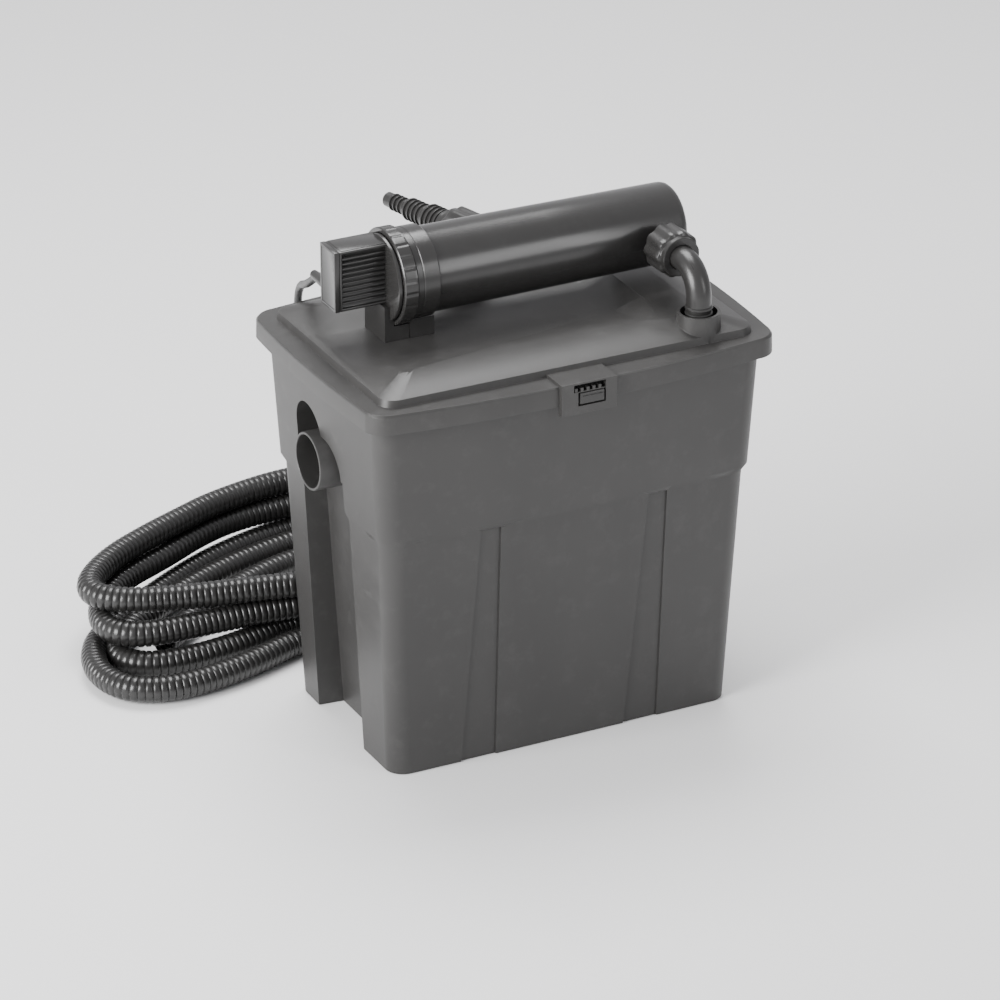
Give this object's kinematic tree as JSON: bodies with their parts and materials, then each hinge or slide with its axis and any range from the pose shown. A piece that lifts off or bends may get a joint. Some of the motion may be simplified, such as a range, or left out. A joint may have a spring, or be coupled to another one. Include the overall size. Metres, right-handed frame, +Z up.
{
  "type": "pond filter box with ultraviolet clarifier",
  "caption": "Flow-through pond filter: a deep black tub with a hinged, latched lid carrying a UV clarifier tube, lamp head, elbow and hose tail, with its mains lead and a coiled ribbed hose.",
  "frame": {"origin": "centre of the underside of the tub, on the floor", "axes": "+Z up, -Y towards the latch side (front), -X towards the outlet end, +X towards the inlet end"},
  "size_m": [0.5126, 0.5123, 0.441],
  "materials": {
    "tub_black": "fine satin",
    "lid_black": "fine satin",
    "clarifier_black": "semi-gloss moulded",
    "fitting_black": "satin",
    "outlet_grey": "satin",
    "seal_rubber": "matt",
    "hose_black": "semi-gloss ribbed",
    "lead_rubber": "matt",
    "pin_brass": "bright",
    "screw_steel": "bright",
    "quartz": "clear",
    "lamp_glass": "clear",
    "lamp_ceramic": "matt",
    "foam_coarse": "open foam",
    "foam_medium": "open foam",
    "foam_fine": "open foam",
    "media_plastic": "moulded",
    "tray_plastic": "moulded",
    "ballast_steel": "painted"
  },
  "bodies": {
    "tub": {"tub": "tub_black", "outlet_pipe": "outlet_grey", "outlet_gasket": "seal_rubber", "outlet_strainer": "tray_plastic", "hinge_pins": "screw_steel", "support_grid": "tray_plastic", "foam_cassette": "tray_plastic", "fine_foam": "foam_fine", "medium_foam": "foam_medium", "coarse_foam": "foam_coarse", "media_basket": "tray_plastic", "bio_media": "media_plastic", "distributor_tray": "tray_plastic", "supply_hose_coil": "hose_black", "mains_lead": "lead_rubber", "mains_lead_coil": "lead_rubber", "mains_plug": "fitting_black", "plug_pins": "pin_brass"},
    "lid": {"lid": "lid_black", "lid_seal": "seal_rubber", "socket_grommet": "seal_rubber", "drop_pipe": "fitting_black", "uv_foot": "fitting_black", "uv_foot_clip": "fitting_black", "foot_screws": "screw_steel", "uv_housing": "clarifier_black", "quartz_sleeve": "quartz", "sleeve_seal": "seal_rubber", "uv_lamp": "lamp_glass", "lamp_base": "lamp_ceramic", "lamp_socket": "lamp_ceramic", "head_seal": "seal_rubber", "ballast_housing": "clarifier_black", "ballast_cap": "clarifier_black", "ballast_block": "ballast_steel", "cable_gland": "fitting_black", "elbow": "fitting_black", "elbow_gasket": "seal_rubber", "hose_tail": "fitting_black", "tail_gasket": "seal_rubber"},
    "latch": {"latch_tab": "fitting_black"},
    "ring": {"coupling_ring": "clarifier_black"},
    "elbow_union": {"elbow_nut": "fitting_black"},
    "tail_union": {"tail_nut": "fitting_black"}
  },
  "joints": [
    {"name": "lid_hinge", "type": "hinge", "parent": "tub", "child": "lid", "pos_m": [0, 0.137, 0.321], "axis": [-1, 0, 0], "range_deg": [0, 80], "deforming": ["mains_lead"]},
    {"name": "latch_press", "type": "hinge", "parent": "lid", "child": "latch", "pos_m": [0.0025, -0.1344, 0.3336], "axis": [1, 0, 0], "range_deg": [0, 11], "stiffness_Nm_per_rad": 0.2},
    {"name": "ring_twist", "type": "hinge", "parent": "lid", "child": "ring", "pos_m": [-0.1045, 0.015, 0.4], "axis": [-1, 0, 0], "range_deg": [0, 30]},
    {"name": "elbow_nut_spin", "type": "hinge", "parent": "lid", "child": "elbow_union", "pos_m": [0.125, -0.045, 0.4], "axis": [0, -1, 0], "range_deg": [0, 720]},
    {"name": "tail_nut_spin", "type": "hinge", "parent": "lid", "child": "tail_union", "pos_m": [-0.01118, 0.07026, 0.4], "axis": [-0.2453, 0.9694, 0], "range_deg": [0, 720]}
  ]
}
